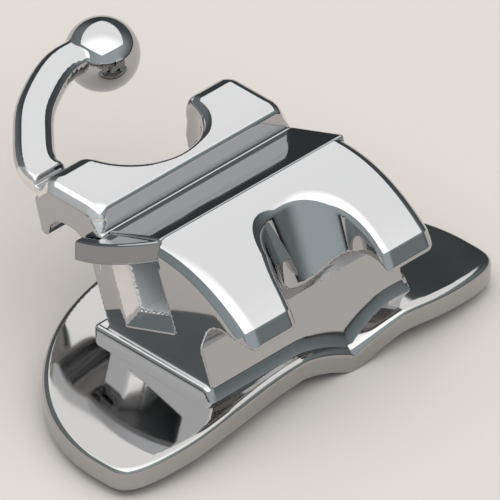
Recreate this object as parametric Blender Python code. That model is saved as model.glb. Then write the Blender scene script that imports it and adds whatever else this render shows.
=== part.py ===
"""Direct-bond convertible molar buccal tube: cast tie-wing body with a ball hook,
contoured bonding pad and the strip that closes its slot.

Frame: origin at the middle of the pad's tooth side, +X distal along the slot,
+Y gingival, +Z buccal, away from the tooth. Sizes below are in millimetres and degrees.
"""
import math

import bmesh
import bpy
from mathutils import Matrix, Vector

MM = 0.001

# Slot and lumen
TORQUE = 20.0
LUMEN_WIDTH = 0.559
LUMEN_HEIGHT = 0.711
MOUTH_FLARE = 0.18
MOUTH_LEAD = 0.03
SLOT_RISE = 1.351

# Strip that closes the slot, and its peel tab
STRIP_WIDTH = 0.97
STRIP_THICKNESS = 0.33
STRIP_SETBACK = 0.03
TAB_REACH = 0.18
TAB_BOW_RADIUS = 1.85
TAB_MIDDLE = -0.55
TAB_GINGIVAL = 0.82
TAB_CORNER = 0.06
TAB_ROOT = 0.05
TAB_DROP = 0.03
TAB_STEPS = 16

# Body
BODY_LENGTH = 3.4
BODY_OFFSET = 0.14
END_ROUND = 0.07
STEM_GINGIVAL = 0.82
STEM_OCCLUSAL = 0.885
STEM_OCCLUSAL_TOP = -0.70
STEM_GINGIVAL_TOP = 0.20
WING_TOP = 0.84
WALL_ROUND = 0.27
GINGIVAL_WING_REACH = 1.885
GINGIVAL_TOP_ROUND = 0.30
GINGIVAL_TAPER = 0.10
GINGIVAL_TAPER_HEIGHT = 0.32
GINGIVAL_TAPER_START = 0.04
BEAK_TIP = 0.075
BEAK_HEIGHT = 0.09
BEAK_THROAT = 0.1125
GINGIVAL_UNDERCUT_FOOT = 0.18
GINGIVAL_UNDERCUT_RISE = 0.17
UNDERCUT_CURVE = 2.2
GINGIVAL_NOTCH_RADIUS = 0.89
GINGIVAL_NOTCH_FOOT = 0.6
OCCLUSAL_WING_REACH = 1.92
OCCLUSAL_WING_CURVE = 2.2
OCCLUSAL_TIP_ROUND = 0.09
OCCLUSAL_TIP_HEIGHT = 0.05
OCCLUSAL_UNDERCUT = ((0.18, 0.03), (0.35, 0.075), (0.56, 0.088), (0.75, 0.045), (0.88, -0.05), (0.96, -0.17))
OCCLUSAL_NOTCH_HALF_WIDTH = 0.76
OCCLUSAL_NOTCH_ROUND = 0.62
OCCLUSAL_NOTCH_START = 0.93
OCCLUSAL_NOTCH_SPREAD = 0.14
OCCLUSAL_NOTCH_END = 2.4
OCCLUSAL_NOTCH_FLOOR = -1.02
OCCLUSAL_NOTCH_CEILING = 1.2

# Foot under the body
FOOT_LEDGE = 0.07
FOOT_GINGIVAL = 0.76
FOOT_OCCLUSAL = 1.34
FOOT_TOP = 0.50
FOOT_ROUND = 0.05
STEM_SINK = 0.1
RELIEF_MARGIN = 0.4
RELIEF_OCCLUSAL_MARGIN = 0.15
RELIEF_FLOOR = -1.0

# Hook
HOOK_WIDTH = 0.66
HOOK_THICKNESS = 0.46
HOOK_STEP = 0.125
HOOK_ROUND = 0.16
HOOK_INSET = 0.02
HOOK_SEAT = 0.585
HOOK_LEAD = 0.365
HOOK_DRIFT = 0.07
HOOK_ELBOW_X = -0.79
HOOK_ELBOW_REACH = 0.795
HOOK_SWEEP_X = -0.22
HOOK_SWEEP_REACH = 1.315
HOOK_BEND_X = 0.62
HOOK_BEND_REACH = 1.735
HOOK_NARROWING = 0.12
HOOK_THINNING = 0.1
BALL_RADIUS = 0.49
BALL_X = 1.31
BALL_REACH = 1.7
BALL_DROP = 0.4

# Bonding pad
PAD_LENGTH = 6.64
PAD_WIDEST_Y = -0.95
PAD_GINGIVAL = 2.65
PAD_OCCLUSAL = 0.74
PAD_WAIST = 0.22
PAD_WAIST_SPAN = 2.4
PAD_THICKNESS = 0.33
PAD_CROWN = 0.14
PAD_FLAT = 0.25
PAD_EDGE = 0.05
PAD_SQUARENESS = 5.0
VALLEY_X = 0.86
VALLEY_HALF_WIDTH = 0.85
VALLEY_START_Y = -0.95
VALLEY_DEPTH = 0.27
VALLEY_SIDE_CURVE = 1.4
VALLEY_FALL_CURVE = 1.2
POCKET_SIZE = 0.24
POCKET_PITCH = 0.42
POCKET_DEPTH = 0.11
POCKET_MARGIN = 0.2

# Brazing gap between two pieces that sit on each other, and how far a cutter runs past the metal
JOINT_GAP = 0.02
OVERRUN = 0.1

# Facets of round forms
OUTLINE_STEPS = 72
ROUND_STEPS = 3
CURVE_STEPS = 8
CORNER_STEPS = 6
NOTCH_STEPS = 32
RELIEF_ALONG = 40
RELIEF_ACROSS = 16
BALL_SEGMENTS = 24
BALL_RINGS = 14
PAD_RING_SHARES = (0.06, 0.2, 0.36, 0.52, 0.66, 0.78, 0.88, 0.95)
HOOK_STEPS = 4
SMOOTH_ANGLE = 32.0

TORQUE_SIN = math.sin(math.radians(TORQUE))
TORQUE_COS = math.cos(math.radians(TORQUE))
STRIP_FACE = LUMEN_HEIGHT / 2 + JOINT_GAP + STRIP_THICKNESS
SEAT_HALF = STRIP_WIDTH / 2 + JOINT_GAP
MESIAL_X = BODY_OFFSET - BODY_LENGTH / 2
DISTAL_X = BODY_OFFSET + BODY_LENGTH / 2
HOOK_RISE = SLOT_RISE + WING_TOP - HOOK_STEP - HOOK_THICKNESS / 2


def clear_objects():
    for old in list(bpy.data.objects):
        bpy.data.objects.remove(old, do_unlink=True)


def steel(name, shade, roughness):
    material = bpy.data.materials.new(name)
    material.use_nodes = True
    shader = material.node_tree.nodes["Principled BSDF"]
    shader.inputs["Base Color"].default_value = (shade, shade, shade * 0.98, 1.0)
    shader.inputs["Metallic"].default_value = 1.0
    shader.inputs["Roughness"].default_value = roughness
    return material


def new_object(name, bm, material=None):
    """Turn a bmesh into an object with outward faces; it stays in millimetres until it is cut."""
    bmesh.ops.recalc_face_normals(bm, faces=bm.faces)
    bmesh.ops.triangulate(bm, faces=bm.faces)
    mesh = bpy.data.meshes.new(name)
    bm.to_mesh(mesh)
    bm.free()
    made = bpy.data.objects.new(name, mesh)
    bpy.context.scene.collection.objects.link(made)
    if material:
        mesh.materials.append(material)
    return made


def cutter(name, bm):
    made = new_object(name, bm)
    made.hide_render = True
    made.display_type = 'WIRE'
    return made


def boolean(target, tool, operation):
    step = target.modifiers.new(tool.name, 'BOOLEAN')
    step.object = tool
    step.operation = operation
    step.solver = 'EXACT'


def cut_and_scale(made):
    """Apply an object's booleans in millimetres, drop the cutters and scale its mesh to metres."""
    evaluated = made.evaluated_get(bpy.context.evaluated_depsgraph_get())
    finished = bpy.data.meshes.new_from_object(evaluated)
    finished.transform(Matrix.Scale(MM, 4))
    tools = [step.object for step in made.modifiers]
    made.modifiers.clear()
    made.data = finished
    for tool in tools:
        bpy.data.objects.remove(tool, do_unlink=True)
    finished.shade_smooth()
    finished.set_sharp_from_angle(angle=math.radians(SMOOTH_ANGLE))
    return made


def loft(rings):
    """Skin a list of equal closed rings and cap both ends."""
    bm = bmesh.new()
    loops = [[bm.verts.new(point) for point in ring] for ring in rings]
    count = len(rings[0])
    for near, far in zip(loops, loops[1:]):
        for i in range(count):
            j = (i + 1) % count
            bm.faces.new((near[i], near[j], far[j], far[i]))
    bm.faces.new(loops[0])
    bm.faces.new(reversed(loops[-1]))
    return bm


def from_slot(x, t, n):
    """Slot frame (t occlusal in the slot's plane, n out of the slot) to the part's frame."""
    return Vector((x, n * TORQUE_SIN - t * TORQUE_COS, SLOT_RISE + t * TORQUE_SIN + n * TORQUE_COS))


def slot_section(t, n):
    """Slot frame to the section's (occlusal reach, height above the lumen's centre)."""
    return (t * TORQUE_COS - n * TORQUE_SIN, t * TORQUE_SIN + n * TORQUE_COS)


def arc(centre, radius, start, end, steps):
    """Points of a section arc, angles in degrees from the occlusal direction to +Z."""
    points = []
    for i in range(steps + 1):
        angle = math.radians(start + (end - start) * i / steps)
        points.append((centre[0] + radius * math.cos(angle), centre[1] + radius * math.sin(angle)))
    return points


def inset_outline(points, inset):
    """Move each corner of a counter-clockwise outline inwards by the inset."""
    moved = []
    count = len(points)
    for i in range(count):
        before = Vector(points[i - 1])
        here = Vector(points[i])
        after = Vector(points[(i + 1) % count])
        first = (here - before).normalized()
        second = (after - here).normalized()
        normal = Vector((-first.y - second.y, first.x + second.x)).normalized()
        stretch = max(0.6, normal.dot(Vector((-first.y, first.x))))
        moved.append(tuple(here + normal * (inset / stretch)))
    return moved


# Bonding pad

def pad_outline(angle):
    """Half ellipse towards the gum, squarer lobes with a waist towards the biting edge."""
    half = PAD_LENGTH / 2
    x = half * math.cos(angle)
    side = math.sin(angle)
    if side >= 0.0:
        return (x, PAD_WIDEST_Y + PAD_GINGIVAL * side)
    share = abs(x) / half
    waist = 0.0
    if abs(x) < PAD_WAIST_SPAN:
        waist = PAD_WAIST * math.cos(math.pi * x / (2 * PAD_WAIST_SPAN)) ** 2
    return (x, PAD_WIDEST_Y - PAD_OCCLUSAL * (1.0 - share ** PAD_SQUARENESS) ** (1.0 / PAD_SQUARENESS) + waist)


def pad_back(x, y):
    """Height of the tooth side: crowned along X, with the buccal groove's valley."""
    along = max(0.0, abs(x) - PAD_FLAT) / (PAD_LENGTH / 2 - PAD_FLAT)
    height = -PAD_CROWN * along ** 2
    across = abs(x - VALLEY_X) / VALLEY_HALF_WIDTH
    edge_y = PAD_WIDEST_Y - PAD_OCCLUSAL + PAD_WAIST
    down = (VALLEY_START_Y - y) / (VALLEY_START_Y - edge_y)
    if across < 1.0 and down > 0.0:
        height -= VALLEY_DEPTH * (1.0 - across) ** VALLEY_SIDE_CURVE * down ** VALLEY_FALL_CURVE
    return height


def pad_ring(outline, scale, inset, lift):
    """One ring of the pad: the outline drawn in by a share and by a distance."""
    ring = []
    for x, y in outline:
        reach = math.hypot(x, y)
        share = scale * (1.0 - inset / reach)
        ring.append(Vector((x * share, y * share, pad_back(x * share, y * share) + lift)))
    return ring


def make_pad(material):
    outline = [pad_outline(2 * math.pi * (i + 0.5) / OUTLINE_STEPS) for i in range(OUTLINE_STEPS)]
    rings = [pad_ring(outline, share, PAD_EDGE, 0.0) for share in PAD_RING_SHARES]
    rings.append(pad_ring(outline, 1.0, PAD_EDGE / 2, 0.0))
    rings.append(pad_ring(outline, 1.0, 0.0, PAD_EDGE / 2))
    for i in range(ROUND_STEPS + 1):
        turn = math.pi / 2 * i / ROUND_STEPS
        inset = PAD_EDGE * (1.0 - math.cos(turn))
        lift = PAD_THICKNESS - PAD_EDGE * (1.0 - math.sin(turn))
        rings.append(pad_ring(outline, 1.0, inset, lift))
    rings += [pad_ring(outline, share, PAD_EDGE, PAD_THICKNESS) for share in reversed(PAD_RING_SHARES)]
    pad = new_object("bonding_pad", loft(rings), material)
    boolean(pad, cutter("pocket_cutters", pocket_boxes()), 'DIFFERENCE')
    return pad


def inside_pad(x, y):
    half = PAD_LENGTH / 2
    if abs(x) >= half:
        return False
    low = pad_outline(-math.acos(x / half))[1]
    high = pad_outline(math.acos(x / half))[1]
    return low < y < high


def pocket_boxes():
    """Square retention pockets on the tooth side, clear of the rim and of the middle land."""
    bm = bmesh.new()
    reach = POCKET_SIZE / 2 + POCKET_MARGIN
    columns = int(PAD_LENGTH / 2 / POCKET_PITCH)
    rows = int(PAD_GINGIVAL / POCKET_PITCH)
    for column in range(-columns, columns + 1):
        for row in range(-rows, rows + 1):
            x = column * POCKET_PITCH
            y = row * POCKET_PITCH
            corners = [(x + sx * reach, y + sy * reach) for sx in (-1, 1) for sy in (-1, 1)]
            if not all(inside_pad(cx, cy) for cx, cy in corners) or (column == 0 and row == 0):
                continue
            floor = pad_back(x, y) + POCKET_DEPTH
            made = bmesh.ops.create_cube(bm, size=1.0)["verts"]
            bmesh.ops.scale(bm, vec=(POCKET_SIZE, POCKET_SIZE, POCKET_DEPTH * 3), verts=made)
            bmesh.ops.translate(bm, vec=(x, y, floor - POCKET_DEPTH * 1.5), verts=made)
    return bm


# Body

def body_section():
    """Outline across the slot, counter-clockwise seen from the mesial end."""
    points = occlusal_side()
    # down into the strip's seat, round the lumen and up again to the gingival wall
    half = LUMEN_WIDTH / 2
    points += [slot_section(SEAT_HALF, LUMEN_HEIGHT / 2), slot_section(half, LUMEN_HEIGHT / 2)]
    points += [slot_section(half, -LUMEN_HEIGHT / 2), slot_section(-half, -LUMEN_HEIGHT / 2)]
    points += [slot_section(-half, LUMEN_HEIGHT / 2), slot_section(-SEAT_HALF, LUMEN_HEIGHT / 2)]
    return points + gingival_side()


def occlusal_side():
    """From inside the foot up the stem, round the wing's tip and up its outer face to the strip."""
    stem = slot_section(STEM_OCCLUSAL, STEM_OCCLUSAL_TOP)
    tip = (OCCLUSAL_WING_REACH - OCCLUSAL_TIP_ROUND, OCCLUSAL_TIP_HEIGHT)
    points = [stem_root(STEM_OCCLUSAL), stem]
    for share, height in reversed(OCCLUSAL_UNDERCUT):
        points.append((tip[0] + (stem[0] - tip[0]) * share, height))
    round_tip = arc(tip, OCCLUSAL_TIP_ROUND, -110.0, 40.0, 4)
    points += round_tip
    end = round_tip[-1]
    strip_edge = slot_section(SEAT_HALF, STRIP_FACE)
    for i in range(CURVE_STEPS - 1, -1, -1):
        share = i / CURVE_STEPS
        drop = (strip_edge[1] - end[1]) * share ** OCCLUSAL_WING_CURVE
        points.append((strip_edge[0] + (end[0] - strip_edge[0]) * share, strip_edge[1] - drop))
    return points


def gingival_side():
    """From the strip up the wall, over the wing, round its beak and undercut, down the stem."""
    wall = slot_section(-SEAT_HALF, STRIP_FACE)
    points = [wall]
    points += arc((wall[0] - WALL_ROUND, WING_TOP - WALL_ROUND), WALL_ROUND, 0.0, 90.0, 5)
    face = -GINGIVAL_WING_REACH
    points += arc((face + GINGIVAL_TOP_ROUND, WING_TOP - GINGIVAL_TOP_ROUND), GINGIVAL_TOP_ROUND, 90.0, 180.0, 4)
    points += [(face + GINGIVAL_TAPER_START, GINGIVAL_TAPER_HEIGHT),
               (face + GINGIVAL_TAPER, GINGIVAL_TAPER_HEIGHT / 2)]
    beak = (face + GINGIVAL_TAPER + BEAK_TIP, BEAK_HEIGHT)
    points += arc(beak, BEAK_TIP, 190.0, 330.0, 4)
    stem = slot_section(-STEM_GINGIVAL, STEM_GINGIVAL_TOP)
    inner = beak[0] + BEAK_THROAT
    for i in range(1, CURVE_STEPS):
        share = i / CURVE_STEPS
        height = GINGIVAL_UNDERCUT_RISE * (1.0 - abs(2 * share - 1.0) ** UNDERCUT_CURVE)
        points.append((inner + (stem[0] - inner) * share, GINGIVAL_UNDERCUT_FOOT + height))
    return points + [stem, stem_root(-STEM_GINGIVAL)]


def stem_root(t):
    """Section point where a side of the stem ends, inside the foot."""
    height = FOOT_TOP - STEM_SINK - SLOT_RISE
    return slot_section(t, (height - t * TORQUE_SIN) / TORQUE_COS)


def row_point(x, section_point):
    return Vector((x, -section_point[0], SLOT_RISE + section_point[1]))


def make_section_body(name):
    section = body_section()
    rings = []
    for i in range(ROUND_STEPS + 1):
        turn = math.pi / 2 * i / ROUND_STEPS
        outline = inset_outline(section, END_ROUND * (1.0 - math.sin(turn)))
        x = MESIAL_X + END_ROUND * (1.0 - math.cos(turn))
        rings.append([row_point(x, point) for point in outline])
    for i in range(ROUND_STEPS + 1):
        turn = math.pi / 2 * i / ROUND_STEPS
        outline = inset_outline(section, END_ROUND * (1.0 - math.cos(turn)))
        x = DISTAL_X - END_ROUND * (1.0 - math.sin(turn))
        rings.append([row_point(x, point) for point in outline])
    return loft(rings)


def slot_box(x_range, t_range, n_range):
    corners = []
    for x in x_range:
        corners.append([from_slot(x, t_range[0], n_range[0]), from_slot(x, t_range[1], n_range[0]),
                        from_slot(x, t_range[1], n_range[1]), from_slot(x, t_range[0], n_range[1])])
    return loft(corners)


def mouth(x_inside, x_outside):
    """Flared mouth of the lumen: the lumen's section grows at 45 degrees to the end face."""
    rings = []
    inwards = math.copysign(MOUTH_LEAD, x_inside - x_outside)
    for x, grow in ((x_inside + inwards, -MOUTH_LEAD), (x_outside, abs(x_outside - x_inside))):
        half = LUMEN_WIDTH / 2 + grow
        low = -LUMEN_HEIGHT / 2 - grow
        high = STRIP_FACE + OVERRUN
        rings.append([from_slot(x, -half, low), from_slot(x, half, low),
                      from_slot(x, half, high), from_slot(x, -half, high)])
    return loft(rings)


def gingival_notch():
    rings = []
    for z in (GINGIVAL_NOTCH_FOOT, SLOT_RISE + WING_TOP + OVERRUN):
        ring = []
        for i in range(NOTCH_STEPS):
            angle = 2 * math.pi * i / NOTCH_STEPS
            ring.append(Vector((BODY_OFFSET + GINGIVAL_NOTCH_RADIUS * math.cos(angle),
                                GINGIVAL_WING_REACH + GINGIVAL_NOTCH_RADIUS * math.sin(angle), z)))
        rings.append(ring)
    return loft(rings)


def occlusal_notch():
    """Arch between the occlusal wings, cut along the slot's normal."""
    half = OCCLUSAL_NOTCH_HALF_WIDTH
    bend = OCCLUSAL_NOTCH_ROUND
    straight = OCCLUSAL_NOTCH_START + bend
    plan = []
    for i in range(CORNER_STEPS + 1):
        turn = math.pi / 2 * i / CORNER_STEPS
        plan.append((half - bend + bend * math.cos(turn), straight - bend * math.sin(turn)))
    plan = plan + [(-x, t) for x, t in reversed(plan)]
    spread = half + OCCLUSAL_NOTCH_SPREAD
    plan = [(spread, OCCLUSAL_NOTCH_END)] + plan + [(-spread, OCCLUSAL_NOTCH_END)]
    rings = []
    for n in (OCCLUSAL_NOTCH_FLOOR, OCCLUSAL_NOTCH_CEILING):
        rings.append([from_slot(BODY_OFFSET + x, t, n) for x, t in plan])
    return loft(rings)


def foot_block():
    """Foot: a rounded block under the stem that reaches through the pad's face."""
    bm = bmesh.new()
    bmesh.ops.create_cube(bm, size=1.0)
    length = BODY_LENGTH + 2 * FOOT_LEDGE
    depth = FOOT_GINGIVAL + FOOT_OCCLUSAL
    bmesh.ops.scale(bm, vec=(length, depth, FOOT_TOP), verts=bm.verts)
    middle_y = (FOOT_GINGIVAL - FOOT_OCCLUSAL) / 2
    bmesh.ops.translate(bm, vec=(BODY_OFFSET, middle_y, FOOT_TOP / 2), verts=bm.verts)
    rounded = [edge for edge in bm.edges if any(v.co.z > FOOT_TOP / 2 for v in edge.verts)]
    bmesh.ops.bevel(bm, geom=rounded, offset=FOOT_ROUND, segments=ROUND_STEPS, profile=0.5, affect='EDGES')
    return bm


def pad_relief():
    """Everything below the pad's outer face plus the brazing gap, under the foot."""
    x_low = MESIAL_X - FOOT_LEDGE - RELIEF_MARGIN
    x_high = DISTAL_X + FOOT_LEDGE + RELIEF_MARGIN
    y_low = -FOOT_OCCLUSAL - RELIEF_OCCLUSAL_MARGIN
    y_high = FOOT_GINGIVAL + RELIEF_MARGIN
    bm = bmesh.new()
    grid = []
    for i in range(RELIEF_ALONG + 1):
        x = x_low + (x_high - x_low) * i / RELIEF_ALONG
        column = []
        for j in range(RELIEF_ACROSS + 1):
            y = y_low + (y_high - y_low) * j / RELIEF_ACROSS
            column.append(bm.verts.new((x, y, pad_back(x, y) + PAD_THICKNESS + JOINT_GAP)))
        grid.append(column)
    for i in range(RELIEF_ALONG):
        for j in range(RELIEF_ACROSS):
            bm.faces.new((grid[i][j], grid[i + 1][j], grid[i + 1][j + 1], grid[i][j + 1]))
    extruded = bmesh.ops.extrude_face_region(bm, geom=bm.faces[:])["geom"]
    bottom = [item for item in extruded if isinstance(item, bmesh.types.BMVert)]
    for vert in bottom:
        vert.co.z = RELIEF_FLOOR
    return bm


def hook_path():
    """Centreline of the hook: out of the mesial gingival wing, round to the ball."""
    root_x = MESIAL_X + HOOK_WIDTH / 2 + HOOK_INSET
    plan = [(root_x, -HOOK_SEAT), (root_x, 0.0), (root_x + HOOK_DRIFT, HOOK_LEAD),
            (HOOK_ELBOW_X, HOOK_ELBOW_REACH), (HOOK_SWEEP_X, HOOK_SWEEP_REACH),
            (HOOK_BEND_X, HOOK_BEND_REACH), (BALL_X, BALL_REACH)]
    knots = [Vector((x, GINGIVAL_WING_REACH + reach, HOOK_RISE)) for x, reach in plan]
    points = []
    for i in range(len(knots) - 1):
        before = knots[max(i - 1, 0)]
        after = knots[min(i + 2, len(knots) - 1)]
        near, far = knots[i], knots[i + 1]
        for k in range(HOOK_STEPS):
            u = k / HOOK_STEPS
            points.append(0.5 * ((2 * near) + (far - before) * u
                                 + (2 * before - 5 * near + 4 * far - after) * u ** 2
                                 + (3 * near - before - 3 * far + after) * u ** 3))
    points.append(knots[-1])
    return points


def hook_arm():
    """Flat arm with rounded edges, swept along the hook's centreline."""
    path = hook_path()
    rings = []
    for i, here in enumerate(path):
        ahead = path[min(i + 1, len(path) - 1)] - path[max(i - 1, 0)]
        ahead.z = 0.0
        side = Vector((ahead.y, -ahead.x, 0.0)).normalized()
        share = i / (len(path) - 1)
        half_width = HOOK_WIDTH / 2 * (1.0 - HOOK_NARROWING * share)
        half_height = HOOK_THICKNESS / 2 * (1.0 - HOOK_THINNING * share)
        ring = []
        for corner in range(4):
            sign_side = 1 if corner in (0, 3) else -1
            sign_up = 1 if corner in (0, 1) else -1
            for k in range(4):
                angle = math.radians(90 * corner + 30 * k)
                across = sign_side * (half_width - HOOK_ROUND) + HOOK_ROUND * math.cos(angle)
                up = sign_up * (half_height - HOOK_ROUND) + HOOK_ROUND * math.sin(angle)
                ring.append(here + side * across + Vector((0.0, 0.0, up)))
        rings.append(ring)
    return loft(rings)


def hook_ball():
    bm = bmesh.new()
    bmesh.ops.create_uvsphere(bm, u_segments=BALL_SEGMENTS, v_segments=BALL_RINGS, radius=BALL_RADIUS)
    centre = (BALL_X, GINGIVAL_WING_REACH + BALL_REACH, SLOT_RISE + WING_TOP - BALL_DROP)
    bmesh.ops.translate(bm, vec=centre, verts=bm.verts)
    return bm


def make_body(material):
    body = new_object("tube_body", make_section_body("tube_body"), material)
    boolean(body, cutter("mesial_mouth", mouth(MESIAL_X + MOUTH_FLARE, MESIAL_X - OVERRUN)), 'DIFFERENCE')
    boolean(body, cutter("distal_mouth", mouth(DISTAL_X - MOUTH_FLARE, DISTAL_X + OVERRUN)), 'DIFFERENCE')
    boolean(body, cutter("foot", foot_block()), 'UNION')
    boolean(body, cutter("pad_relief", pad_relief()), 'DIFFERENCE')
    boolean(body, cutter("gingival_notch", gingival_notch()), 'DIFFERENCE')
    boolean(body, cutter("occlusal_notch", occlusal_notch()), 'DIFFERENCE')
    boolean(body, cutter("hook_arm", hook_arm()), 'UNION')
    boolean(body, cutter("hook_ball", hook_ball()), 'UNION')
    return body


# Convertible strip

def make_strip(material):
    """Strip in the seat, with the rounded tab past the mesial end."""
    under = STRIP_FACE - STRIP_THICKNESS
    half = STRIP_WIDTH / 2
    mesial = tab_front(half)
    strip = slot_box((mesial, DISTAL_X - STRIP_SETBACK), (-half, half), (under, STRIP_FACE))
    cap = new_object("convertible_cap", strip, material)
    boolean(cap, cutter("tab", tab_plate(under)), 'UNION')
    return cap


def tab_front(t):
    """Bowed front edge of the tab, an arc that runs back into the seat on its occlusal side."""
    away = t - TAB_MIDDLE
    return MESIAL_X - TAB_REACH + TAB_BOW_RADIUS - math.sqrt(TAB_BOW_RADIUS ** 2 - away ** 2)


def tab_plate(under):
    """Peel tab: a plate that fills the seat's mouth and runs on in front of the gingival wall."""
    half = STRIP_WIDTH / 2
    low = TAB_CORNER - TAB_GINGIVAL
    clear = MESIAL_X - JOINT_GAP
    plan = []
    for i in range(ROUND_STEPS):
        turn = math.pi / 2 * i / ROUND_STEPS
        plan.append((tab_front(low) + TAB_CORNER * (1.0 - math.sin(turn)), low - TAB_CORNER * math.cos(turn)))
    for i in range(TAB_STEPS + 1):
        t = low + (half - low) * i / TAB_STEPS
        plan.append((tab_front(t), t))
    back = tab_front(half) + TAB_ROOT
    plan += [(back, half), (back, -half), (clear, -half), (clear, -TAB_GINGIVAL)]
    rings = []
    for n in (under, STRIP_FACE - TAB_DROP):
        rings.append([from_slot(x, t, n) for x, t in plan])
    return loft(rings)


def build():
    clear_objects()
    body_steel = steel("body_steel", 0.72, 0.12)
    pad_steel = steel("pad_steel", 0.70, 0.16)
    cap_steel = steel("cap_steel", 0.66, 0.10)
    for made in (make_pad(pad_steel), make_body(body_steel), make_strip(cap_steel)):
        cut_and_scale(made)


build()
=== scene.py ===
"""Looks of the molar buccal tube: a polished steel skin for each of its three pieces.

Each skin is a distance field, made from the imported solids' sizes and the photograph's finer forms.
Its zero surface is meshed finely with its true fillets, because mirror-bright steel shows every facet.
"""
import math

import bpy
import numpy as np
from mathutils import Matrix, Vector


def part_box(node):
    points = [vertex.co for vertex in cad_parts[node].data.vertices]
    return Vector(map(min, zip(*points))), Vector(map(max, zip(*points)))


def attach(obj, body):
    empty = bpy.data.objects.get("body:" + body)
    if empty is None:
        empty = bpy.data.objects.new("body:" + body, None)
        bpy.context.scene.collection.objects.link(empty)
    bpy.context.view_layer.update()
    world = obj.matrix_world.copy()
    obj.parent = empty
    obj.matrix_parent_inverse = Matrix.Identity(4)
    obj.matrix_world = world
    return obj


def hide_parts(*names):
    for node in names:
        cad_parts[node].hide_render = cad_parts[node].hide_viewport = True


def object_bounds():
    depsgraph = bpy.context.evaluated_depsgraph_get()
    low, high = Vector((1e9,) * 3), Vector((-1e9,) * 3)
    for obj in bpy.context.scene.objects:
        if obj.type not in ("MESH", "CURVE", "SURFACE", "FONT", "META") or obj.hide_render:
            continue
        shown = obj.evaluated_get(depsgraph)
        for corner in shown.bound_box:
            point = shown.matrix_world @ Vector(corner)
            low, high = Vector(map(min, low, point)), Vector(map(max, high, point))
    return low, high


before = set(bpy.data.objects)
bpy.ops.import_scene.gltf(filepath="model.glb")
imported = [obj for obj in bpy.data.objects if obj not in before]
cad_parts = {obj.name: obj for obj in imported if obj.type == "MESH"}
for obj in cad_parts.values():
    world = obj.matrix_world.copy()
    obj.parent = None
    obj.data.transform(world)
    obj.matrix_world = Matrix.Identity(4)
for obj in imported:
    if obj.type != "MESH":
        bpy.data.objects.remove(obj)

MM = 0.001
CAD_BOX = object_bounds()

# Slot, lumen, strip and tab: lengths in millimetres, angles in radians
TORQUE = math.radians(20.0)
LUMEN_WIDTH = 0.559
LUMEN_HEIGHT = 0.711
MOUTH_FLARE = 0.18
SLOT_RISE = 1.351
STRIP_WIDTH = 0.97
STRIP_THICKNESS = 0.33
STRIP_SETBACK = 0.03
STRIP_ROUND = 0.03
SEAT_GAP = 0.02
SEAT_SIDE_GAP = 0.006
SEAT_ROUND = 0.015
MOUTH_CREASE = 0.04
TAB_REACH = 0.18
TAB_BOW_RADIUS = 1.85
TAB_MIDDLE = -0.55
TAB_GINGIVAL = 0.82
TAB_ROOT = 0.3
TAB_DROP = 0.03
TAB_ROUND = 0.045
TAB_STEPS = 40

# Body
BODY_LENGTH = 3.4
BODY_OFFSET = 0.14
END_BEVEL_ANGLE = math.radians(52.0)
END_BEVEL = 0.105
END_BEVEL_FOOT = 0.02
END_BEVEL_FADE = (0.45, 0.62)
END_ROUND_SHARE = 0.76
END_EDGE = 0.025
STEM_GINGIVAL = 0.82
STEM_OCCLUSAL = 0.885
STEM_OCCLUSAL_TOP = -0.70
STEM_GINGIVAL_TOP = 0.20
STEM_FOOT = 0.05
WING_TOP = 0.84
WALL_ROUND = 0.27
GINGIVAL_WING_REACH = 1.885
GINGIVAL_TOP_ROUND = 0.30
OCCLUSAL_WING_REACH = 1.9
OCCLUSAL_WING_DROP = 0.728
OCCLUSAL_WING_CURVE = 2.2
OCCLUSAL_TOP_STEPS = 32
OCCLUSAL_TIP_STEPS = 2
OCCLUSAL_TIP = (1.858, -0.008)
OCCLUSAL_TIP_ROUND = 0.045
OCCLUSAL_TIP_UNDER = (-100.0, -12.0)
OCCLUSAL_TIP_OVER = (0.0, 27.0)
BEAK_CENTRE = (-1.70, 0.09)
BEAK_ROUND = 0.075
BEAK_SWEEP = (190.0, 325.0)
TOP_ROUND_STEPS = 16
GINGIVAL_NOTCH_RADIUS = 0.89
GINGIVAL_NOTCH_FOOT = 0.6
GINGIVAL_NOTCH_EDGE = 0.15
OCCLUSAL_NOTCH_X = 0.21
OCCLUSAL_NOTCH_HALF_WIDTH = 0.745
OCCLUSAL_NOTCH_ROUND = 0.72
OCCLUSAL_NOTCH_DRAFT = math.tan(math.radians(5.0))
OCCLUSAL_NOTCH_START = 0.93
OCCLUSAL_NOTCH_SPREAD = 0.14
OCCLUSAL_NOTCH_MESIAL_SPREAD = 0.38
OCCLUSAL_NOTCH_FLOOR = -1.02
OCCLUSAL_NOTCH_FLOOR_ROUND = 0.1
OCCLUSAL_NOTCH_EDGE = 0.11
NOTCH_EDGE_FADE = (0.15, 0.35)
NOTCH_FOOT_EDGE = 0.15
FOOT_LEDGE = 0.07
FOOT_GINGIVAL = 0.76
FOOT_TOE = 1.22
FOOT_TOE_ANGLE = math.radians(56.0)
FOOT_VALLEY_SHARE = 0.45
FOOT_TOP = 0.50
FOOT_ROUND = 0.05
FOOT_FILLET = 0.03
FOOT_LAP = 0.04

# Knots of the body's section, as occlusal reach and height above the lumen's centre
OCCLUSAL_UNDERCUT = ((1.10, -0.26), (1.14, -0.15), (1.19, -0.04), (1.28, 0.05), (1.40, 0.088),
                     (1.55, 0.075), (1.68, 0.03), (1.79, -0.03))
GINGIVAL_FACE = ((-GINGIVAL_WING_REACH, 0.50), (-1.872, 0.42), (-1.845, 0.32), (-1.80, 0.18),
                 (-1.775, 0.08))
GINGIVAL_UNDERCUT = ((-1.632, 0.08), (-1.60, 0.18), (-1.54, 0.265), (-1.45, 0.32), (-1.34, 0.343),
                     (-1.21, 0.34), (-1.09, 0.30), (-0.98, 0.22), (-0.88, 0.05))

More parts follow.
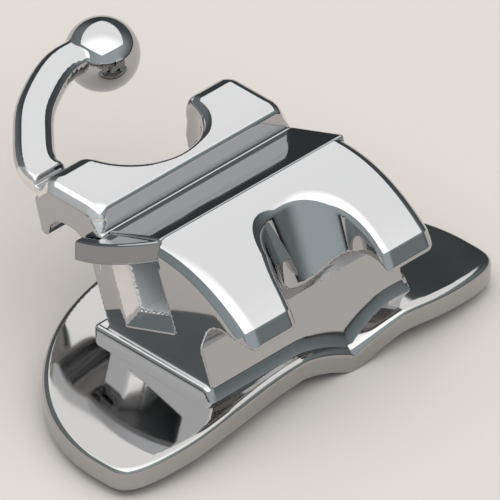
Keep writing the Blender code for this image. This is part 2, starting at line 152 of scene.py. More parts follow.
# Hook and ball
HOOK_WIDTH = 0.66
HOOK_THICKNESS = 0.38
HOOK_STEP = 0.125
HOOK_ROUND = 0.18
HOOK_INSET = 0.02
HOOK_SEAT = 0.585
HOOK_LEAD = 0.365
HOOK_DRIFT = 0.07
HOOK_ELBOW = (-0.79, 0.795)
HOOK_SWEEP = (-0.22, 1.315)
HOOK_BEND = (0.62, 1.735)
HOOK_NARROWING = 0.12
HOOK_FILLET_TOP = 0.02
HOOK_FILLET_UNDER = 0.07
HOOK_DRAFT = 0.3
GROOVE_ANGLE = math.radians(12.0)
GROOVE_START = 1.75
GROOVE_END = 1.98
GROOVE_DEPTH = 0.13
GROOVE_EDGE = 0.03
BALL_RADIUS = 0.49
BALL_X = 1.31
BALL_REACH = 1.7
BALL_DROP = 0.4
BALL_FILLET = 0.02

# Bonding pad
PAD_LENGTH = 6.64
PAD_WIDEST_Y = -0.95
PAD_GINGIVAL = 2.65
PAD_OCCLUSAL = 0.74
PAD_WAIST = 0.22
PAD_WAIST_SPAN = 2.4
PAD_THICKNESS = 0.33
PAD_CROWN = 0.14
PAD_FLAT = 1.67
PAD_FLAT_BLEND = 0.12
PAD_ROUND = 0.10
PAD_BACK_ROUND = 0.03
PAD_SQUARENESS = 5.0
PAD_OUTLINE_STEPS = 240
VALLEY_X = 0.70
VALLEY_HALF_WIDTH = 0.85
VALLEY_START_Y = -0.95
VALLEY_DEPTH = 0.29
VALLEY_SIDE_CURVE = 1.4
VALLEY_FALL_CURVE = 1.2
POCKET_SIZE = 0.24
POCKET_PITCH = 0.42
POCKET_DEPTH = 0.11
POCKET_MARGIN = 0.2
POCKET_EDGE = 0.02

# Meshing: steps in millimetres, the grid's margin and the reaches in steps
BODY_STEP = 0.027
PAD_STEP = 0.035
CAP_STEP = 0.018
GRID_MARGIN = 2.5
SETTLING_ROUNDS = 4
SETTLING_REACH = 0.05
NORMAL_REACH = 0.25
SMALLEST_SLOPE = 1e-12

# Finishes: linear shades, some of them painted shade and painted light, the grain's noise, and the
# roughness it wanders between
BODY_SHADE = (0.47, 0.47, 0.475)
# painted shade: pad and cap are the body's polished steel, given darker shades that stand in for their
# darker reflections
PAD_PAINTED_SHADE = (0.415, 0.41, 0.405)
CAP_PAINTED_SHADE = (0.30, 0.305, 0.315)
POLISH_GRAIN = 900.0
POLISH_SPREAD = (0.35, 0.7)
POLISH_ROUGHNESS = (0.036, 0.09)
SATIN_GRAIN = 9000.0
SATIN_SPREAD = (0.3, 0.7)
GRAIN_DETAIL = 3.0
# painted light: the deep lumen gets a pale, mostly diffuse shade, so that it shows light where a steel
# bore would be in shade
LUMEN_PAINTED_LIGHT_SHADE = (0.74, 0.76, 0.77)
LUMEN_METALLIC = 0.3
LUMEN_ROUGHNESS = (0.32, 0.448)
LUMEN_INDEX = 1
# painted light: a pale, warm shade on the gingival side of the mouths only, picked by which way the
# faces look
MOUTH_PAINTED_LIGHT_SHADE = (0.80, 0.77, 0.76)
MOUTH_METALLIC = 0.85
MOUTH_ROUGHNESS = (0.16, 0.224)
MOUTH_INDEX = 2
MOUTH_SLANT = 0.5

# Floor, with its radius in metres
FLOOR_SHADE = (0.565, 0.53, 0.50)
FLOOR_ROUGHNESS = 0.9
FLOOR_RADIUS = 0.2
FLOOR_SIDES = 96

# Studio: strengths, and the stretches of direction over which they change
BOX_EDGE = (1.25, 1.285)
BOX_DEPTH = (-0.7, 0.3)
BOX_LIGHT = (2.4, 1.5)
WALL_SPAN = (-0.7, 0.98)
WALL_LIGHT = (0.66, 0.265)
WALL_TINT = (0.86, 0.97, 1.0, 1.0)
FAR_SPAN = (0.0, 0.55)
FAR_DIMMING = 0.75
LIFT_SPAN = (-1.0, 0.0)
LIFT = (1.8, 0.0)
HORIZON = (0.0, 0.05)
SMALLEST_RISE = 0.001
WHITE = (1.0, 1.0, 1.0, 1.0)

# Camera: aim and view width in the part's millimetres, lens in the sensor's
CAMERA_AIM = (0.184, -0.188, 1.2)
CAMERA_BACK = (-1.0, -1.0, 1.0)
VIEW_WIDTH = 6.25
SENSOR_WIDTH = 36.0
LENS = 1200.0
CLIP_START = 0.001
CLIP_END = 10.0

SIN = math.sin(TORQUE)
COS = math.cos(TORQUE)
STRIP_FACE = LUMEN_HEIGHT / 2 + SEAT_GAP + STRIP_THICKNESS
SEAT_HALF = STRIP_WIDTH / 2 + SEAT_GAP
MESIAL_X = BODY_OFFSET - BODY_LENGTH / 2
DISTAL_X = BODY_OFFSET + BODY_LENGTH / 2
HOOK_RISE = SLOT_RISE + WING_TOP - HOOK_STEP - HOOK_THICKNESS / 2
BALL_CENTRE = (BALL_X, GINGIVAL_WING_REACH + BALL_REACH, SLOT_RISE + WING_TOP - BALL_DROP)


# Distance fields: negative inside, in millimetres

def round_union(a, b, radius):
    """Both shapes, with a fillet of that radius where they meet."""
    reach_a = np.maximum(radius - a, 0.0)
    reach_b = np.maximum(radius - b, 0.0)
    return np.maximum(radius, np.minimum(a, b)) - np.sqrt(reach_a ** 2 + reach_b ** 2)


def round_overlap(a, b, radius):
    """What both shapes share, with its edge rounded."""
    reach_a = np.maximum(radius + a, 0.0)
    reach_b = np.maximum(radius + b, 0.0)
    return np.minimum(-radius, np.maximum(a, b)) + np.sqrt(reach_a ** 2 + reach_b ** 2)


def round_cut(shape, tool, radius):
    """The shape less the tool, with the edge of the cut rounded."""
    return round_overlap(shape, -tool, radius)


def outline_distance(outline, u, v):
    """Signed distance to a closed outline in a plane."""
    nearest = np.inf
    side = 1.0
    for (au, av), (bu, bv) in zip(outline, outline[1:] + outline[:1]):
        along_u, along_v = bu - au, bv - av
        from_u, from_v = u - au, v - av
        share = np.clip((from_u * along_u + from_v * along_v) / (along_u ** 2 + along_v ** 2), 0.0, 1.0)
        nearest = np.minimum(nearest, (from_u - along_u * share) ** 2 + (from_v - along_v * share) ** 2)
        above_a = v >= av
        above_b = v >= bv
        left = along_u * from_v > along_v * from_u
        crossed = (above_a & ~above_b & ~left) | (~above_a & above_b & left)
        side = np.where(crossed, -side, side)
    return side * np.sqrt(nearest)


def path_distance(path, u, v):
    """Distance to an open path in a plane, and how far along it the nearest point lies, 0 to 1."""
    nearest = np.inf
    place = 0.0
    count = len(path) - 1
    for i in range(count):
        (au, av), (bu, bv) = path[i], path[i + 1]
        along_u, along_v = bu - au, bv - av
        from_u, from_v = u - au, v - av
        share = np.clip((from_u * along_u + from_v * along_v) / (along_u ** 2 + along_v ** 2), 0.0, 1.0)
        gap = (from_u - along_u * share) ** 2 + (from_v - along_v * share) ** 2
        place = np.where(gap < nearest, (i + share) / count, place)
        nearest = np.minimum(nearest, gap)
    return np.sqrt(nearest), place


# Outlines

def curve(knots, steps=6):
    """Smooth curve through a list of knots."""
    points = []
    for i in range(len(knots) - 1):
        p0 = np.array(knots[max(i - 1, 0)])
        p1 = np.array(knots[i])
        p2 = np.array(knots[i + 1])
        p3 = np.array(knots[min(i + 2, len(knots) - 1)])
        for k in range(steps):
            u = k / steps
            point = 0.5 * (2 * p1 + (p2 - p0) * u + (2 * p0 - 5 * p1 + 4 * p2 - p3) * u ** 2
                           + (3 * p1 - p0 - 3 * p2 + p3) * u ** 3)
            points.append(tuple(point))
    points.append(tuple(knots[-1]))
    return points


def arc(centre, radius, start, end, steps=10):
    """Points of a section arc, angles in degrees from the occlusal direction to +Z."""
    points = []
    for i in range(steps + 1):
        angle = math.radians(start + (end - start) * i / steps)
        points.append((centre[0] + radius * math.cos(angle), centre[1] + radius * math.sin(angle)))
    return points


def slot_section(t, n):
    """Slot frame to the section's (occlusal reach, height above the lumen's centre)."""
    return (t * COS - n * SIN, t * SIN + n * COS)


def slot_place(y, z):
    """Occlusal reach and height in the section, and t and n in the slot's frame."""
    occlusal = -y
    height = z - SLOT_RISE
    return occlusal, height, occlusal * COS + height * SIN, height * COS - occlusal * SIN


def occlusal_top():
    """Upper side of the occlusal wing's section, from its tip to the strip."""
    strip_edge = slot_section(SEAT_HALF, STRIP_FACE)
    reach = OCCLUSAL_WING_REACH - strip_edge[0]
    points = arc(OCCLUSAL_TIP, OCCLUSAL_TIP_ROUND, *OCCLUSAL_TIP_OVER, 3)
    # the tip's round takes the place of the curve's last steps
    for i in range(OCCLUSAL_TOP_STEPS - OCCLUSAL_TIP_STEPS, -1, -1):
        share = i / OCCLUSAL_TOP_STEPS
        drop = OCCLUSAL_WING_DROP * share ** OCCLUSAL_WING_CURVE
        points.append((strip_edge[0] + reach * share, strip_edge[1] - drop))
    return points


def gingival_top():
    """Upper side of the gingival wing's section, from the strip to its gingival face."""
    wall = slot_section(-SEAT_HALF, STRIP_FACE)
    points = [wall]
    inner = (wall[0] - WALL_ROUND, WING_TOP - WALL_ROUND)
    outer = (GINGIVAL_TOP_ROUND - GINGIVAL_WING_REACH, WING_TOP - GINGIVAL_TOP_ROUND)
    points += arc(inner, WALL_ROUND, 0.0, 90.0, TOP_ROUND_STEPS)
    return points + arc(outer, GINGIVAL_TOP_ROUND, 90.0, 180.0, TOP_ROUND_STEPS)


def stem_root(t):
    """Section point where a side of the stem ends, inside the pad."""
    return slot_section(t, (STEM_FOOT - SLOT_RISE - t * SIN) / COS)


def body_outline():
    """Section of the body across the slot, with the slot's channel still closed."""
    points = [stem_root(STEM_OCCLUSAL)]
    points += curve([slot_section(STEM_OCCLUSAL, STEM_OCCLUSAL_TOP), *OCCLUSAL_UNDERCUT])
    points += arc(OCCLUSAL_TIP, OCCLUSAL_TIP_ROUND, *OCCLUSAL_TIP_UNDER, 8)
    points += occlusal_top() + gingival_top()
    points += curve(GINGIVAL_FACE, 3)
    points += arc(BEAK_CENTRE, BEAK_ROUND, *BEAK_SWEEP)
    points += curve([*GINGIVAL_UNDERCUT, slot_section(-STEM_GINGIVAL, STEM_GINGIVAL_TOP)])
    points += [stem_root(-STEM_GINGIVAL)]
    return points


def bevel_paths():
    """The section's two upper sides, which the end bevels follow, each carried on past the strip."""
    occlusal = occlusal_top()
    gingival = gingival_top()
    strip_edge = occlusal[-1]
    wall = gingival[0]
    occlusal = occlusal + [(strip_edge[0] - SEAT_HALF, strip_edge[1])]
    gingival = [(wall[0], wall[1] - SEAT_HALF)] + gingival
    return occlusal, gingival


def hook_path():
    """Centreline of the hook in plan, from inside the mesial gingival wing to the ball."""
    root_x = MESIAL_X + HOOK_WIDTH / 2 + HOOK_INSET
    plan = [(root_x, -HOOK_SEAT), (root_x, 0.0), (root_x + HOOK_DRIFT, HOOK_LEAD),
            HOOK_ELBOW, HOOK_SWEEP, HOOK_BEND, (BALL_X, BALL_REACH)]
    return curve([(x, GINGIVAL_WING_REACH + reach) for x, reach in plan])


def pad_outline(angle):
    """Half ellipse towards the gum, squarer lobes with a waist towards the biting edge."""
    half = PAD_LENGTH / 2
    x = half * math.cos(angle)
    side = math.sin(angle)
    if side >= 0.0:
        return (x, PAD_WIDEST_Y + PAD_GINGIVAL * side)
    share = abs(x) / half
    waist = 0.0
    if abs(x) < PAD_WAIST_SPAN:
        waist = PAD_WAIST * math.cos(math.pi * x / (2 * PAD_WAIST_SPAN)) ** 2
    lobe = (1.0 - share ** PAD_SQUARENESS) ** (1.0 / PAD_SQUARENESS)
    return (x, PAD_WIDEST_Y - PAD_OCCLUSAL * lobe + waist)


def tab_front(t):
    """Where the tab's bowed front lies along the slot, at a place across it."""
    bow_centre = MESIAL_X - TAB_REACH + TAB_BOW_RADIUS
    return bow_centre - math.sqrt(TAB_BOW_RADIUS ** 2 - (t - TAB_MIDDLE) ** 2)


def tab_outline():
    """The tab and its root under the strip, in the slot's plane, as (x, t)."""
    half = STRIP_WIDTH / 2
    low = -TAB_GINGIVAL
    points = []
    for i in range(TAB_STEPS + 1):
        t = low + (half - low) * i / TAB_STEPS
        points.append((tab_front(t), t))
    back = MESIAL_X + TAB_ROOT
    clear = MESIAL_X - SEAT_GAP
    return points + [(back, half), (back, -half), (clear, -half), (clear, low)]


BODY_OUTLINE = body_outline()
OCCLUSAL_PATH, GINGIVAL_PATH = bevel_paths()
HOOK_PATH = hook_path()
PAD_TURNS = [2 * math.pi * (i + 0.5) / PAD_OUTLINE_STEPS for i in range(PAD_OUTLINE_STEPS)]
PAD_OUTLINE = [pad_outline(turn) for turn in PAD_TURNS]
TAB_OUTLINE = tab_outline()


# The three pieces as fields

def pad_back(x, y):
    """Height of the pad's tooth side: flat middle, sloping lobes and the buccal groove's valley."""
    slope = PAD_CROWN / (PAD_LENGTH / 2 - PAD_FLAT)
    past = np.abs(x) - PAD_FLAT
    lobes = slope * (past + np.sqrt(past ** 2 + PAD_FLAT_BLEND ** 2)) / 2
    across = np.maximum(0.0, 1.0 - np.abs(x - VALLEY_X) / VALLEY_HALF_WIDTH)
    edge_y = PAD_WIDEST_Y - PAD_OCCLUSAL + PAD_WAIST
    down = np.maximum(0.0, (VALLEY_START_Y - y) / (VALLEY_START_Y - edge_y))
    return -lobes - VALLEY_DEPTH * across ** VALLEY_SIDE_CURVE * down ** VALLEY_FALL_CURVE


def inside_pad(x, y):
    """Whether a point lies inside the pad's outline."""
    half = PAD_LENGTH / 2
    if abs(x) >= half:
        return False
    turn = math.acos(x / half)
    return pad_outline(-turn)[1] < y < pad_outline(turn)[1]


def pocket_cells():
    """Which cells of the pocket grid hold a pocket, indexed by column and row."""
    columns = int(PAD_LENGTH / 2 / POCKET_PITCH)
    rows = int(PAD_GINGIVAL / POCKET_PITCH)
    reach = POCKET_SIZE / 2 + POCKET_MARGIN
    cells = np.zeros((2 * columns + 1, 2 * rows + 1), dtype=bool)
    for column in range(-columns, columns + 1):
        for row in range(-rows, rows + 1):
            corners = [(column * POCKET_PITCH + sx * reach, row * POCKET_PITCH + sy * reach)
                       for sx in (-1, 1) for sy in (-1, 1)]
            middle = column == 0 and row == 0
            clear = all(inside_pad(*corner) for corner in corners)
            cells[column + columns, row + rows] = clear and not middle
    return cells, columns, rows


POCKETS, POCKET_COLUMNS, POCKET_ROWS = pocket_cells()


def pocket_field(x, y, z):
    """Square retention pockets, open towards the tooth."""
    column = np.clip(np.rint(x / POCKET_PITCH), -POCKET_COLUMNS, POCKET_COLUMNS)
    row = np.clip(np.rint(y / POCKET_PITCH), -POCKET_ROWS, POCKET_ROWS)
    cell_x, cell_y = column * POCKET_PITCH, row * POCKET_PITCH
    walls = np.maximum(np.abs(x - cell_x), np.abs(y - cell_y)) - POCKET_SIZE / 2
    depth = z - pad_back(cell_x, cell_y) - POCKET_DEPTH
    here = POCKETS[column.astype(int) + POCKET_COLUMNS, row.astype(int) + POCKET_ROWS]
    return np.where(here, np.maximum(walls, depth), POCKET_PITCH)


def pad_field(x, y, z):
    """Contoured plate with rounded rims and its retention pockets."""
    back = pad_back(x, y)
    rim = outline_distance(PAD_OUTLINE, x, y)
    plate = round_overlap(rim, z - back - PAD_THICKNESS, PAD_ROUND)
    plate = round_overlap(plate, back - z, PAD_BACK_ROUND)
    return round_cut(plate, pocket_field(x, y, z), POCKET_EDGE)


def slot_field(x, t, n):
    """The strip's seat, the lumen and its flared mouths."""
    seat = np.maximum(np.abs(t) - STRIP_WIDTH / 2 - SEAT_SIDE_GAP, LUMEN_HEIGHT / 2 - n)
    lumen = np.maximum(np.abs(t) - LUMEN_WIDTH / 2, -n - LUMEN_HEIGHT / 2)
    grow = np.maximum(MOUTH_FLARE - np.minimum(x - MESIAL_X, DISTAL_X - x), 0.0)
    flare = np.maximum(np.abs(t) - LUMEN_WIDTH / 2 - grow, -n - LUMEN_HEIGHT / 2 - grow) / math.sqrt(2.0)
    # deeper than the mouths, the flare is out of reach
    flare = np.where(grow > 0.0, flare, MOUTH_FLARE)
    return np.minimum(seat, round_union(lumen, flare, MOUTH_CREASE))


def occlusal_notch_field(x, t, n):
    """Drafted arch between the two occlusal wings, spreading towards their tips."""
    bend = OCCLUSAL_NOTCH_ROUND
    spread = OCCLUSAL_NOTCH_SPREAD * np.clip(t - OCCLUSAL_NOTCH_START - bend, 0.0, 1.0)
    mesial = OCCLUSAL_NOTCH_MESIAL_SPREAD * np.clip(t - OCCLUSAL_NOTCH_START - bend / 2, 0.0, 1.0)
    spread = spread + np.where(x < OCCLUSAL_NOTCH_X, mesial, 0.0)
    draft = OCCLUSAL_NOTCH_DRAFT * n
    side = np.abs(x - OCCLUSAL_NOTCH_X) - OCCLUSAL_NOTCH_HALF_WIDTH - spread - draft
    notch = round_overlap(side, OCCLUSAL_NOTCH_START - t - draft, bend)
    return round_overlap(notch, OCCLUSAL_NOTCH_FLOOR - n, OCCLUSAL_NOTCH_FLOOR_ROUND)


def foot_field(x, y, z):
    """Low foot, upright on three sides and sloping down to the pad towards the biting edge."""
    top = z - FOOT_TOP
    slope = top - pad_back(x, y) * FOOT_VALLEY_SHARE
    toe = (-y - FOOT_TOE) * math.sin(FOOT_TOE_ANGLE) + slope * math.cos(FOOT_TOE_ANGLE)
    sides = round_overlap(np.abs(x - BODY_OFFSET) - BODY_LENGTH / 2 - FOOT_LEDGE,
                          np.maximum(y - FOOT_GINGIVAL, toe), FOOT_ROUND)
    return round_overlap(sides, top, FOOT_ROUND)


def hook_field(x, y, z):
    """Arm with a groove where it leaves the wing, and its ball."""
    beside, place = path_distance(HOOK_PATH, x, y)
    half_width = HOOK_WIDTH / 2 * (1.0 - HOOK_NARROWING * place)
    below = HOOK_RISE + HOOK_THICKNESS / 2 - z
    flank = (beside - half_width + HOOK_DRAFT * below) / math.hypot(1.0, HOOK_DRAFT)
    arm = round_overlap(flank, np.abs(z - HOOK_RISE) - HOOK_THICKNESS / 2, HOOK_ROUND)
    far = (y - GROOVE_END) * math.cos(GROOVE_ANGLE) + below * math.sin(GROOVE_ANGLE)
    groove = np.maximum(far, np.maximum(GROOVE_START - y, below - GROOVE_DEPTH))
    arm = round_cut(arm, groove, GROOVE_EDGE)
    from_centre = [value - middle for value, middle in zip((x, y, z), BALL_CENTRE)]
    ball = np.sqrt(from_centre[0] ** 2 + from_centre[1] ** 2 + from_centre[2] ** 2) - BALL_RADIUS
    return round_union(arm, ball, BALL_FILLET)


def hook_fillet(y, z):
    """Radius between wing and arm: wider under the arm, outside the wing."""
    inner_y = GINGIVAL_WING_REACH - 2 * HOOK_FILLET_UNDER
    outside = np.interp(y, (inner_y, GINGIVAL_WING_REACH), (0.0, 1.0))
    under = np.interp(z, (HOOK_RISE - HOOK_THICKNESS / 2, HOOK_RISE), (1.0, 0.0)) * outside
    return HOOK_FILLET_TOP + (HOOK_FILLET_UNDER - HOOK_FILLET_TOP) * under


def section_field(x, occlusal, height):
    """The section between its bevelled ends, and how far each point lies from its upper side."""
    face = outline_distance(BODY_OUTLINE, occlusal, height)
    ends = np.abs(x - BODY_OFFSET) - BODY_LENGTH / 2
    gingival_half = occlusal < GINGIVAL_PATH[0][0] / 2
    below_top = np.where(gingival_half, path_distance(GINGIVAL_PATH, occlusal, height)[0],
                         path_distance(OCCLUSAL_PATH, occlusal, height)[0])
    # the bevel runs out towards the foot of the gingival wall
    fading = np.interp(height, END_BEVEL_FADE, (END_BEVEL_FOOT, END_BEVEL))
    cut = np.where(gingival_half, fading, END_BEVEL)
    bevel = ends * math.sin(END_BEVEL_ANGLE) - below_top * math.cos(END_BEVEL_ANGLE) + cut
    shape = round_overlap(round_overlap(face, bevel, cut * END_ROUND_SHARE), ends, END_EDGE)
    return shape, below_top


def body_field(x, y, z):
    """The casting: section, slot, notches, foot, hook and ball."""
    occlusal, height, t, n = slot_place(y, z)
    shape, below_top = section_field(x, occlusal, height)
    shape = round_cut(shape, slot_field(x, t, n), SEAT_ROUND)
    # the notches are rounded along the top and crisp along their foot
    fade = np.interp(below_top, NOTCH_EDGE_FADE, (1.0, NOTCH_FOOT_EDGE))
    notch = np.hypot(x - BODY_OFFSET, y - GINGIVAL_WING_REACH) - GINGIVAL_NOTCH_RADIUS
    shape = round_cut(shape, np.maximum(notch, GINGIVAL_NOTCH_FOOT - z), GINGIVAL_NOTCH_EDGE * fade)
    shape = round_cut(shape, occlusal_notch_field(x, t, n), OCCLUSAL_NOTCH_EDGE * fade)
    shape = round_union(shape, foot_field(x, y, z), FOOT_FILLET)
    shape = np.maximum(shape, pad_back(x, y) + PAD_THICKNESS - FOOT_LAP - z)
    return round_union(shape, hook_field(x, y, z), hook_fillet(y, z))


def cap_field(x, y, z):
    """Strip in its seat, and the peel tab at its mesial end."""
    occlusal, _, t, n = slot_place(y, z)
    under = LUMEN_HEIGHT / 2 + SEAT_GAP
    low_x = tab_front(STRIP_WIDTH / 2)
    high_x = DISTAL_X - STRIP_SETBACK
    along = np.abs(x - (low_x + high_x) / 2) - (high_x - low_x) / 2
    strip = round_overlap(along, np.abs(t) - STRIP_WIDTH / 2, STRIP_ROUND)
    strip = round_overlap(strip, np.maximum(n - STRIP_FACE, under - n), STRIP_ROUND)
    top = STRIP_FACE - TAB_DROP
    # the tab's rim stands along z, whatever the torque
    upright = (occlusal + top * SIN) / COS
    rim = outline_distance(TAB_OUTLINE, x, upright)
    tab = round_overlap(rim, np.maximum(n - top, under - n), TAB_ROUND)
    return np.minimum(strip, tab)


# Meshing

def field_slope(field, points, reach):
    """Unit direction in which the field grows, by central differences over that reach."""
    slope = np.empty_like(points)
    for axis in range(3):
        ahead = points.copy()
        behind = points.copy()
        ahead[:, axis] += reach
        behind[:, axis] -= reach
        slope[:, axis] = field(*ahead.T) - field(*behind.T)
    return slope / np.maximum(np.linalg.norm(slope, axis=1, keepdims=True), SMALLEST_SLOPE)


CELL_CORNERS = [(i, j, k) for i in (0, 1) for j in (0, 1) for k in (0, 1)]


def at_corners(values, corner):
    """The grid's values at one corner of each of its cells."""
    return values[tuple(slice(side, count - 1 + side) for side, count in zip(corner, values.shape))]


def net_points(values, crossed):
    """In each crossed cell, the mean of the places where the surface cuts the cell's edges."""
    corner_values = {corner: at_corners(values, corner)[crossed] for corner in CELL_CORNERS}
    count = np.count_nonzero(crossed)
    total = np.zeros((count, 3))
    hits = np.zeros(count)
    for axis in range(3):
        for near in CELL_CORNERS:
            if near[axis]:
                continue
            far = tuple(1 if a == axis else near[a] for a in range(3))
            value_near, value_far = corner_values[near], corner_values[far]
            cut = (value_near < 0.0) != (value_far < 0.0)
            share = np.where(cut, value_near / np.where(cut, value_near - value_far, 1.0), 0.0)
            point = np.tile(np.array(near, dtype=float), (count, 1))
            point[:, axis] = share
            total += point * cut[:, None]
            hits += cut
    return total / hits[:, None]


def net_quads(inside, number):
    """One outward quad for each grid edge that the surface cuts, between the four cells around it."""
    quads = []
    for axis in range(3):
        b, c = (axis + 1) % 3, (axis + 2) % 3
        near = [slice(1, -1)] * 3
        far = [slice(1, -1)] * 3
        near[axis], far[axis] = slice(0, -1), slice(1, None)
        start, end = inside[tuple(near)], inside[tuple(far)]
        for leaves in (True, False):
            edges = np.argwhere((start if leaves else ~start) & (~end if leaves else end))
            edges[:, b] += 1
            edges[:, c] += 1
            ring = []
            for back_b, back_c in ((1, 1), (0, 1), (0, 0), (1, 0)):
                cell = edges.copy()
                cell[:, b] -= back_b
                cell[:, c] -= back_c
                ring.append(number[tuple(cell.T)])
            quads.append(np.stack(ring if leaves else ring[::-1], axis=1))
    return np.concatenate(quads)


def surface_net(field, low, high, step):
    """Quads over the field's zero surface: one vertex for each grid cell that it crosses."""
    margin = GRID_MARGIN * step
    axes = [np.arange(low[k] - margin, high[k] + margin, step) for k in range(3)]
    shape = tuple(len(places) for places in axes)
    grid_x, grid_y, grid_z = np.meshgrid(*axes, indexing="ij", sparse=True)
    values = np.broadcast_to(field(grid_x, grid_y, grid_z), shape)
    inside = values < 0.0
    filled = sum(at_corners(inside, corner).astype(np.int8) for corner in CELL_CORNERS)
    crossed = (filled > 0) & (filled < len(CELL_CORNERS))
    cells = np.argwhere(crossed)
    number = np.full(crossed.shape, -1, dtype=np.int64)
    number[crossed] = np.arange(len(cells))
    origin = np.array([places[0] for places in axes])
    points = (cells + net_points(values, crossed)) * step + origin
    return points, net_quads(inside, number)


def skin(name, field, node, step, material):
    """Mesh a field inside its CAD node's box, set every vertex on the true surface and dress it."""
    low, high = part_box(node)
    points, quads = surface_net(field, np.array(low) / MM, np.array(high) / MM, step)
    for _ in range(SETTLING_ROUNDS):
        slope = field_slope(field, points, step * SETTLING_REACH)
        points -= slope * np.clip(field(*points.T), -step, step)[:, None]
    normals = field_slope(field, points, step * NORMAL_REACH)
    mesh = bpy.data.meshes.new(name)
    mesh.from_pydata(points * MM, [], quads.tolist())
    mesh.shade_smooth()
    mesh.normals_split_custom_set_from_vertices(normals)
    mesh.materials.append(material)
    made = bpy.data.objects.new(name, mesh)
    bpy.context.scene.collection.objects.link(made)
    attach(made, "root")
    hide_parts(node)
    return made


def paint_light_in_lumen(body, inner, mouth):
    """Give the lumen's walls and the gingival side of its mouths their own materials, whose pale shades
    are painted light.
    """
    body.data.materials.append(inner)
    body.data.materials.append(mouth)
    for face in body.data.polygons:
        x, y, z = face.center / MM
        t, n = slot_place(y, z)[2:]
        deep = min(x - MESIAL_X, DISTAL_X - x)
        inside = abs(t) < LUMEN_WIDTH / 2 + SEAT_ROUND and abs(n) < LUMEN_HEIGHT / 2 + SEAT_ROUND
        flared = abs(face.normal.x) > MOUTH_SLANT and SEAT_ROUND < deep < MOUTH_FLARE
        # painted light: pale satin on the lumen's deep walls
        if inside and deep > MOUTH_FLARE:
            face.material_index = LUMEN_INDEX
        # painted light on the gingival side of the flared mouths only
        elif flared and t < 0.0 and n > t:
            face.material_index = MOUTH_INDEX


# Materials

def math_node(nodes, links, operation, first, second=None):
    """One sum on values or sockets, and the socket of its result."""
    node = nodes.new("ShaderNodeMath")
    node.operation = operation
    for socket, value in zip(node.inputs, (first, second)):
        if value is None:
            continue
        if isinstance(value, (int, float)):
            socket.default_value = value
        else:
            links.new(value, socket)
    return node.outputs[0]


def map_node(nodes, links, value, source, target, smooth=True):
    """A value carried from one range to another, held at its ends."""
    node = nodes.new("ShaderNodeMapRange")
    node.interpolation_type = 'SMOOTHSTEP' if smooth else 'LINEAR'
    node.inputs["From Min"].default_value, node.inputs["From Max"].default_value = source
    node.inputs["To Min"].default_value, node.inputs["To Max"].default_value = target
    links.new(value, node.inputs["Value"])
    return node.outputs["Result"]


def steel(name, shade, metallic, grain, spread, roughness):
    """Steel whose roughness wanders between two limits over the surface."""
    material = bpy.data.materials.new(name)
    material.use_nodes = True
    nodes = material.node_tree.nodes
    links = material.node_tree.links
    shader = nodes["Principled BSDF"]
    shader.inputs["Base Color"].default_value = (*shade, 1.0)
    shader.inputs["Metallic"].default_value = metallic
    place = nodes.new("ShaderNodeTexCoord")
    cloud = nodes.new("ShaderNodeTexNoise")
    cloud.inputs["Scale"].default_value = grain
    cloud.inputs["Detail"].default_value = GRAIN_DETAIL
    links.new(place.outputs["Object"], cloud.inputs["Vector"])
    finish = map_node(nodes, links, cloud.outputs["Fac"], spread, roughness, smooth=False)
    links.new(finish, shader.inputs["Roughness"])
    return material


def polished_steel(name, shade):
    """Mirror polish of the outside."""
    return steel(name, shade, 1.0, POLISH_GRAIN, POLISH_SPREAD, POLISH_ROUGHNESS)


def satin_steel_painted_light(name, shade, metallic, roughness):
    """Satin surface in the slot, where no polishing wheel reaches; its pale, half-diffuse shade is
    painted light.
    """
    return steel(name, shade, metallic, SATIN_GRAIN, SATIN_SPREAD, roughness)


# Stage, light and camera

def make_floor(low_z):
    """Plain pale floor under the part."""
    mesh = bpy.data.meshes.new("floor")
    turns = [2 * math.pi * i / FLOOR_SIDES for i in range(FLOOR_SIDES)]
    ring = [(FLOOR_RADIUS * math.cos(turn), FLOOR_RADIUS * math.sin(turn), low_z) for turn in turns]
    mesh.from_pydata(ring, [], [list(range(FLOOR_SIDES))])
    floor = bpy.data.objects.new("floor", mesh)
    bpy.context.scene.collection.objects.link(floor)
    material = bpy.data.materials.new("pale_floor")
    material.use_nodes = True
    shader = material.node_tree.nodes["Principled BSDF"]
    shader.inputs["Base Color"].default_value = (*FLOOR_SHADE, 1.0)
    shader.inputs["Roughness"].default_value = FLOOR_ROUGHNESS
    shader.inputs["Specular IOR Level"].default_value = 0.0
    mesh.materials.append(material)


def softbox(nodes, links, x, y, z):
    """Where the square softbox hangs overhead, 1 inside its soft edge and 0 outside."""
    widest = math_node(nodes, links, 'MAXIMUM', math_node(nodes, links, 'ABSOLUTE', x),
                       math_node(nodes, links, 'ABSOLUTE', y))
    rise = math_node(nodes, links, 'MAXIMUM', z, SMALLEST_RISE)
    spread = math_node(nodes, links, 'DIVIDE', widest, rise)
    return map_node(nodes, links, spread, BOX_EDGE, (1.0, 0.0))


def walls(nodes, links, x, y, z):
    """Light of the walls: pale on the occlusal side, dim on the distal side, black at the horizon."""
    near = map_node(nodes, links, y, WALL_SPAN, WALL_LIGHT, smooth=False)
    lift = map_node(nodes, links, y, LIFT_SPAN, LIFT, smooth=False)
    far = math_node(nodes, links, 'SUBTRACT', FAR_DIMMING, math_node(nodes, links, 'MULTIPLY', lift, z))
    dim = math_node(nodes, links, 'MULTIPLY', map_node(nodes, links, x, FAR_SPAN, (0.0, 1.0)), far)
    wall = math_node(nodes, links, 'MULTIPLY', near, math_node(nodes, links, 'SUBTRACT', 1.0, dim))
    above_horizon = map_node(nodes, links, z, HORIZON, (0.0, 1.0))
    return math_node(nodes, links, 'MULTIPLY', wall, above_horizon)


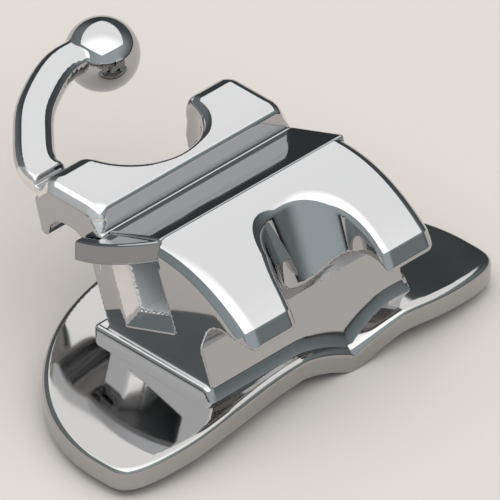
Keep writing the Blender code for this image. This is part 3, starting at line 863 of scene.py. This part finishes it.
def make_studio():
    """World light: the softbox, and outside it the tinted walls."""
    world = bpy.data.worlds.new("studio")
    bpy.context.scene.world = world
    world.use_nodes = True
    nodes = world.node_tree.nodes
    links = world.node_tree.links
    background = nodes["Background"]
    place = nodes.new("ShaderNodeTexCoord")
    split = nodes.new("ShaderNodeSeparateXYZ")
    links.new(place.outputs["Generated"], split.inputs[0])
    x, y, z = split.outputs
    box = softbox(nodes, links, x, y, z)
    depth = math_node(nodes, links, 'ADD', x, y)
    mix = nodes.new("ShaderNodeMix")
    mix.data_type = 'FLOAT'
    links.new(box, mix.inputs[0])
    links.new(walls(nodes, links, x, y, z), mix.inputs[2])
    links.new(map_node(nodes, links, depth, BOX_DEPTH, BOX_LIGHT), mix.inputs[3])
    links.new(mix.outputs[0], background.inputs["Strength"])
    tint = nodes.new("ShaderNodeMix")
    tint.data_type = 'RGBA'
    tint.inputs[6].default_value = WALL_TINT
    tint.inputs[7].default_value = WHITE
    links.new(box, tint.inputs[0])
    links.new(tint.outputs[2], background.inputs["Color"])


def make_camera():
    """Long lens at the photograph's isometric angle."""
    aim = Vector(CAMERA_AIM) * MM
    back = Vector(CAMERA_BACK).normalized()
    view_width = VIEW_WIDTH * MM
    data = bpy.data.cameras.new("camera")
    data.sensor_width = SENSOR_WIDTH
    data.lens = LENS
    data.clip_start = CLIP_START
    data.clip_end = CLIP_END
    camera = bpy.data.objects.new("camera", data)
    bpy.context.scene.collection.objects.link(camera)
    camera.location = aim + back * view_width * data.lens / data.sensor_width
    camera.rotation_euler = back.to_track_quat('Z', 'Y').to_euler()
    bpy.context.scene.camera = camera


def build():
    """The three skins, the floor, the studio and the camera."""
    body_steel = polished_steel("body_steel", BODY_SHADE)
    # pad and cap steel: darker copies of the body's steel, painted shade
    pad_steel = polished_steel("pad_steel", PAD_PAINTED_SHADE)
    cap_steel = polished_steel("cap_steel", CAP_PAINTED_SHADE)
    # lumen and mouth: satin roughness, with pale shades that are painted light
    lumen_steel_painted_light = satin_steel_painted_light("lumen_steel_painted_light", LUMEN_PAINTED_LIGHT_SHADE, LUMEN_METALLIC, LUMEN_ROUGHNESS)
    mouth_steel_painted_light = satin_steel_painted_light("mouth_steel_painted_light", MOUTH_PAINTED_LIGHT_SHADE, MOUTH_METALLIC, MOUTH_ROUGHNESS)
    body = skin("body_skin", body_field, "tube_body", BODY_STEP, body_steel)
    paint_light_in_lumen(body, lumen_steel_painted_light, mouth_steel_painted_light)
    skin("pad_skin", pad_field, "bonding_pad", PAD_STEP, pad_steel)
    skin("cap_skin", cap_field, "convertible_cap", CAP_STEP, cap_steel)
    make_floor(CAD_BOX[0][2])
    make_studio()
    make_camera()
    bpy.context.scene.view_settings.view_transform = 'Standard'


build()
